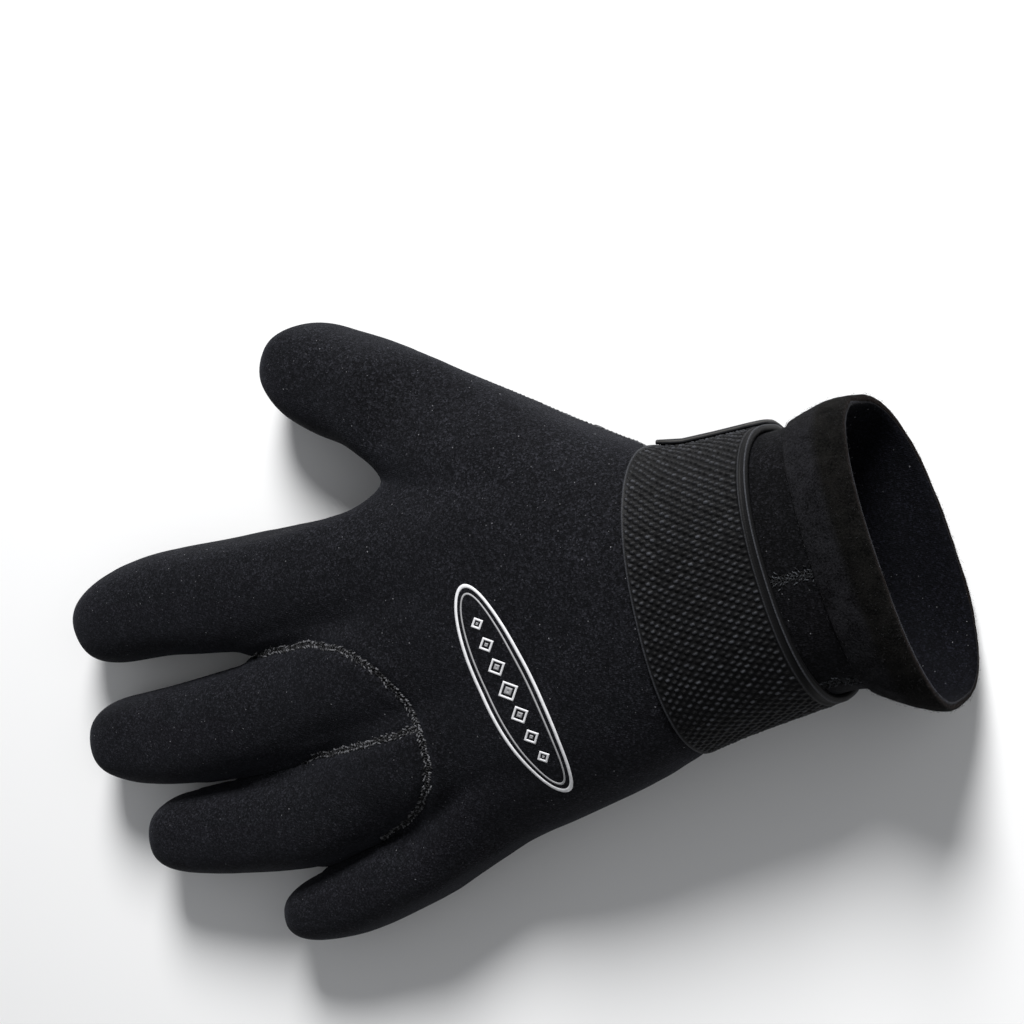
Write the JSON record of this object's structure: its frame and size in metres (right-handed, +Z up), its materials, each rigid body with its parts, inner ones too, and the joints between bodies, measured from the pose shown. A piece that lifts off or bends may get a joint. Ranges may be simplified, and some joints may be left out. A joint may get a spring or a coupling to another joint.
{
  "type": "diving glove",
  "caption": "Left-hand neoprene diving glove with sewn finger panels, grip-printed palm, woven wrist strap with hook-and-loop end, and open flared cuff.",
  "frame": {"origin": "under the middle of the glove's box, on the surface that it lies on", "axes": "+X from the fingertips to the cuff, +Y to the thumb, +Z up out of the back of the hand"},
  "size_m": [0.261, 0.168, 0.0513],
  "materials": {
    "neoprene_back": "matt nylon jersey over neoprene foam, charcoal black, grey flatlock seams",
    "neoprene_palm": "matt jersey over neoprene foam, with a printed grip of small raised rubber diamonds",
    "neoprene_cuff": "smooth matt jersey over neoprene foam, near black",
    "hem_band": "brushed, slightly fuzzy loop fabric, very dark grey",
    "strap_webbing": "woven elastic webbing with a raised staggered weave and ribbed edges",
    "strap_tab": "hook-and-loop end, fine diagonal twill with a smooth border"
  },
  "bodies": {
    "root": {"back_panel": "neoprene_back", "middle_finger_panel": "neoprene_back", "ring_finger_panel": "neoprene_back", "palm_panel": "neoprene_palm", "cuff_body": "neoprene_cuff", "cuff_gusset": "neoprene_cuff", "cuff_hem": "hem_band", "wrist_strap": "strap_webbing", "strap_tab": "strap_tab"}
  },
  "joints": []
}
